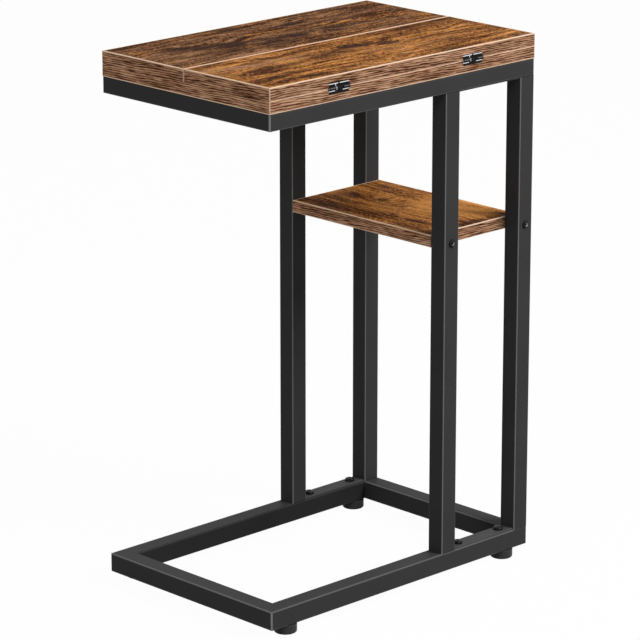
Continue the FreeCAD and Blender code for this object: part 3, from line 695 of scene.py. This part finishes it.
def highlight_lines(from_middle, from_top, is_moving):
    """1 on the painted highlight lines of a plate, whichever way they face."""
    if is_moving:
        knuckle = line_at(from_middle, KNUCKLE_LINE) * (from_top > KNUCKLE_LINE_TOP)
        return line_at(from_top, MOVING_TOP_LINE).larger(knuckle)
    upper = line_at(from_top, FIXED_UPPER_LINE)
    lower = line_at(from_top, FIXED_LOWER_LINE)
    return (abs(from_middle) > FIXED_LINES_START) * lower.larger(FAINT * upper)


# The lines are painted highlights.
print("rubbed lines are", LINE_WIDTH, "mm wide")

# %% Hinge plates
BLACKENED_STEEL = (0.008, 0.008, 0.009)
HIGHLIGHT_STEEL = (0.80, 0.80, 0.81)
OUTWARD_STEP = (0.6, 0.9)
SCRATCH_STEP = (0.0, 0.45)
SCRATCH_LENGTH = 2.5
SCRATCH_WIDTH = 0.4
SCRATCH_RELIEF = 0.01 * MM
HINGE_SHEEN = 1.15


def highlighted_plate(plate):
    material, wire = begin(plate + "_finish")
    low, high = [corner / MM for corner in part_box(plate)]
    x, y, z = place_in_mm(wire)
    outward = abs(facing(wire)[1]).smooth(*OUTWARD_STEP)
    lines = highlight_lines(x - (low.x + high.x) / 2, high.z - z, plate.endswith("_moving_plate"))
    scratches = noise(wire, x / SCRATCH_LENGTH, y / SCRATCH_WIDTH, z / SCRATCH_WIDTH, detail=3)
    # Painted highlight lines of bright steel on the outward faces, broken up by the scratch noise.
    painted_glint = lines * outward * scratches.smooth(*SCRATCH_STEP)
    finish_with(wire, {
        "Base Color": painted_glint.between(BLACKENED_STEEL, HIGHLIGHT_STEEL),
        "Metallic": painted_glint,
        "Roughness": 0.3 + 0.15 * scratches,
        "IOR": HINGE_SHEEN,
        "Normal": bump(wire, scratches, SCRATCH_RELIEF),
    })
    return material


for plate in names_ending("_plate"):
    dress([plate], highlighted_plate(plate))

# %% [markdown]
# ## Zinc plating
# Pins, nuts, inserts, the screws under the top and the studs of the feet are plain steel with a bright zinc
# skin. Its passivation leaves a faint drift between bluish and straw-coloured patches, and drawn bar keeps
# fine marks along it.

# %% Zinc plating
BLUISH_ZINC = (0.56, 0.59, 0.63)
STRAW_ZINC = (0.64, 0.60, 0.50)
DRIFT_STEP = (0.35, 0.65)
DRIFT_SIZE = 5
DRAWN_LENGTH = 6
DRAWN_WIDTH = 0.3
DRAWN_RELIEF = 0.01 * MM


def zinc_plating(name):
    material, wire = begin(name)
    place = place_in_mm(wire)
    x, y, z = place
    drift = mottle(wire, place, DRIFT_SIZE, detail=2)
    drawn = noise(wire, x / DRAWN_WIDTH, y / DRAWN_WIDTH, z / DRAWN_LENGTH, detail=2)
    finish_with(wire, {
        "Base Color": drift.smooth(*DRIFT_STEP).between(BLUISH_ZINC, STRAW_ZINC),
        "Metallic": 1.0,
        "Roughness": 0.28 + 0.22 * drawn,
        "Normal": bump(wire, drawn, DRAWN_RELIEF),
    })
    return material


zinc = zinc_plating("bright_zinc")
dress(names_ending("_nuts", "_inserts", "_pin", "_stud", "top_board_screws"), zinc)

# %% [markdown]
# ## Moulded feet
# Each foot is a black plastic disc moulded round the end of its stud. The mould was spark-eroded, which
# leaves a fine pebble on the plastic and a low sheen.

# %% Foot plastic
PLASTIC_BLACKS = ((0.034, 0.034, 0.034), (0.046, 0.046, 0.047))
PEBBLE_SIZE = 0.5
PEBBLE_DEPTH = 0.03 * MM
FLOW_SIZE = 9
PLASTIC_SHEEN = 1.15


def moulded_plastic(name):
    material, wire = begin(name)
    place = place_in_mm(wire)
    pebble = mottle(wire, place, PEBBLE_SIZE, detail=2)
    flow = mottle(wire, place, FLOW_SIZE, detail=2)
    finish_with(wire, {
        "Base Color": flow.between(*PLASTIC_BLACKS),
        "Roughness": 0.34 + 0.12 * pebble,
        "IOR": PLASTIC_SHEEN,
        "Normal": bump(wire, pebble, PEBBLE_DEPTH),
    })
    return material


dress(names_ending("_foot_pad"), moulded_plastic("moulded_black_plastic"))

# %% [markdown]
# ## Threads on the feet
# When a foot is unscrewed, its stud comes into sight below the rail. The CAD stud is a plain cylinder, so a
# threaded one takes its place here. A thread could be swept along a helix, but a tube whose radius depends
# on height and angle together gives the same ridge with no joins to clean up.

# %% Shape of the thread
THREAD_PITCH = 1.25 * MM
THREAD_DEPTH = 0.65 * MM
END_TAPER = 1.2 * MM
CREST = 1.5
FLANK = 2.2


def thread_radius(radius, height_left, height, turn):
    """The stud's radius at a height and a share of a turn, tapered at its upper end."""
    wave = (height / THREAD_PITCH - turn) % 1.0
    ridge = min(1.0, max(0.0, CREST - abs(2 * wave - 1) * FLANK))
    return min(radius - THREAD_DEPTH * (1 - ridge), radius - END_TAPER + height_left)


print("thread pitch in mm:", THREAD_PITCH / MM)

# %% Threaded studs
STEPS_ROUND = 40
STEPS_PER_PITCH = 8


def threaded_tube(low, high):
    """Points and faces of a threaded stud that fills a box, closed at both ends."""
    radius = (high.x - low.x) / 2
    centre = (low + high) / 2
    length = high.z - low.z
    rows = round(length / THREAD_PITCH * STEPS_PER_PITCH)
    points = []
    for row in range(rows + 1):
        height = length * row / rows
        for step in range(STEPS_ROUND):
            turn = step / STEPS_ROUND
            angle = WHOLE_TURN * turn
            reach = thread_radius(radius, length - height, height, turn)
            x = centre.x + reach * math.cos(angle)
            y = centre.y + reach * math.sin(angle)
            points.append((x, y, low.z + height))
    faces = []
    for row in range(rows):
        for step in range(STEPS_ROUND):
            here = row * STEPS_ROUND + step
            there = row * STEPS_ROUND + (step + 1) % STEPS_ROUND
            faces.append((here, there, there + STEPS_ROUND, here + STEPS_ROUND))
    last = rows * STEPS_ROUND
    faces.append(tuple(reversed(range(STEPS_ROUND))))
    faces.append(tuple(range(last, last + STEPS_ROUND)))
    return points, faces


def threaded_stud(foot):
    stud = f"{foot}_foot_stud"
    points, faces = threaded_tube(*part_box(stud))
    mesh = bpy.data.meshes.new(f"{foot}_threaded_stud")
    mesh.from_pydata(points, [], faces)
    mesh.materials.append(zinc)
    piece = bpy.data.objects.new(f"{foot}_threaded_stud", mesh)
    bpy.context.scene.collection.objects.link(piece)
    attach(piece, f"{foot}_foot")
    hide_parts(stud)
    return piece


for foot in ("front_open", "front_post", "back_open", "back_post"):
    print(threaded_stud(foot).name, "made")

# %% [markdown]
# ## Floor and surroundings
# The photograph has a pure white ground. A white floor in white light would throw so much light back that
# the black frame turned grey. So the floor and the world are white only where the camera or a reflection
# looks at them, and everything else is lit by a softer world. A share of the floor stays an ordinary grey
# surface, which keeps the table's shadow, and the glow makes up for that share, so that open floor is white.

# %% World
WHITE = (1.0, 1.0, 1.0)
AMBIENT = 0.3


def seen_directly(wire):
    """1 for rays from the camera, off a glossy surface or through glass, 0 for the light on other things."""
    looks = [wire.node("LightPath", out=f"Is {kind} Ray") for kind in ("Camera", "Glossy", "Transmission")]
    return looks[0] + looks[1] + looks[2]


studio = bpy.data.worlds.new("studio")
studio.use_nodes = True
studio.node_tree.nodes.clear()
sky = Wire(studio.node_tree)
soft = sky.node("Background", {}, {"Color": opaque(WHITE), "Strength": AMBIENT})
white = sky.node("Background", {}, {"Color": opaque(WHITE), "Strength": 1.0})
ground = sky.node("MixShader", {}, {0: seen_directly(sky), 1: soft, 2: white})
sky.node("OutputWorld", {}, {"Surface": ground})
bpy.context.scene.world = studio
print("world:", studio.name, "ambient strength", AMBIENT)

# %% Floor
FLOOR_GREY = (0.45, 0.45, 0.45)
SHADOW_SHARE = 0.05
FLOOR_GLOW = 1.025
FLOOR_REACH = 30.0

corners = [(FLOOR_REACH * x, FLOOR_REACH * y, cad_low.z) for x, y in ((-1, -1), (1, -1), (1, 1), (-1, 1))]
floor_mesh = bpy.data.meshes.new("floor")
floor_mesh.from_pydata(corners, [], [(0, 1, 2, 3)])
floor = bpy.data.objects.new("floor", floor_mesh)
bpy.context.scene.collection.objects.link(floor)
floor_material, wire = begin("pale_floor")
matt = wire.node("BsdfDiffuse", {}, {"Color": opaque(FLOOR_GREY)})
bright = wire.node("Emission", {}, {"Color": opaque(WHITE), "Strength": FLOOR_GLOW})
lit = wire.node("MixShader", {}, {0: seen_directly(wire) * (1 - SHADOW_SHARE), 1: matt, 2: bright})
wire.node("OutputMaterial", {}, {"Surface": lit})
floor_mesh.materials.append(floor_material)
print("floor reaches", FLOOR_REACH, "m each way")

# %% [markdown]
# ## Lamps
# In the photograph the long front edge is bright, the open end is in half shade and the board faces are
# about as bright as the front. So the main lamp stands high to the right of the camera, and a weak one past
# the open end lifts the half shade there and, together with the painted highlight on the corners, draws the
# thin light line along the tube's corners.

# %% Lamps
def direction(azimuth, elevation):
    """From the table towards a place round it; azimuth 0 is in front of the long edge, 90 past the posts."""
    turn, rise = math.radians(azimuth), math.radians(elevation)
    return Vector((math.sin(turn) * math.cos(rise), -math.cos(turn) * math.cos(rise), math.sin(rise)))


def lamp(name, azimuth, elevation, distance, size, power):
    """A square soft lamp aimed at the middle of the table."""
    towards = direction(azimuth, elevation)
    data = bpy.data.lights.new(name, "AREA")
    data.size = size
    data.energy = power
    made = bpy.data.objects.new(name, data)
    made.location = (cad_low + cad_high) / 2 + towards * distance
    made.rotation_euler = towards.to_track_quat("Z", "Y").to_euler()
    bpy.context.scene.collection.objects.link(made)


lamp("main_lamp", azimuth=25, elevation=38, distance=4.0, size=2.0, power=147)
lamp("end_lamp", azimuth=-75, elevation=20, distance=4.5, size=0.8, power=28)

# %% [markdown]
# ## Camera
# The long lens and the angle come from fitting the table's corners to the photograph. The photograph's
# uprights are exactly parallel, as if its lens had been shifted. A shift that large would push the table out
# of the frame in other views, so this camera has none and looks slightly down at the middle of the table.

# %% Camera
VIEW_AZIMUTH = -44.22
VIEW_ELEVATION = 16.18
VIEW_DISTANCE = 4.584
VIEW_LENS = 202.8
SENSOR_WIDTH = 36.0
VIEW_REACH = 200.0
AIM = Vector((-0.0008, 0.0008, 0.3320))

backwards = direction(VIEW_AZIMUTH, VIEW_ELEVATION)
camera = bpy.data.objects.new("photo_camera", bpy.data.cameras.new("photo_camera"))
camera.data.lens = VIEW_LENS
camera.data.sensor_width = SENSOR_WIDTH
camera.data.clip_end = VIEW_REACH
camera.location = AIM + backwards * VIEW_DISTANCE
camera.rotation_euler = backwards.to_track_quat("Z", "Y").to_euler()
bpy.context.scene.collection.objects.link(camera)
bpy.context.scene.camera = camera
bpy.context.scene.view_settings.view_transform = "Standard"
print("camera at", [round(value, 3) for value in camera.location])
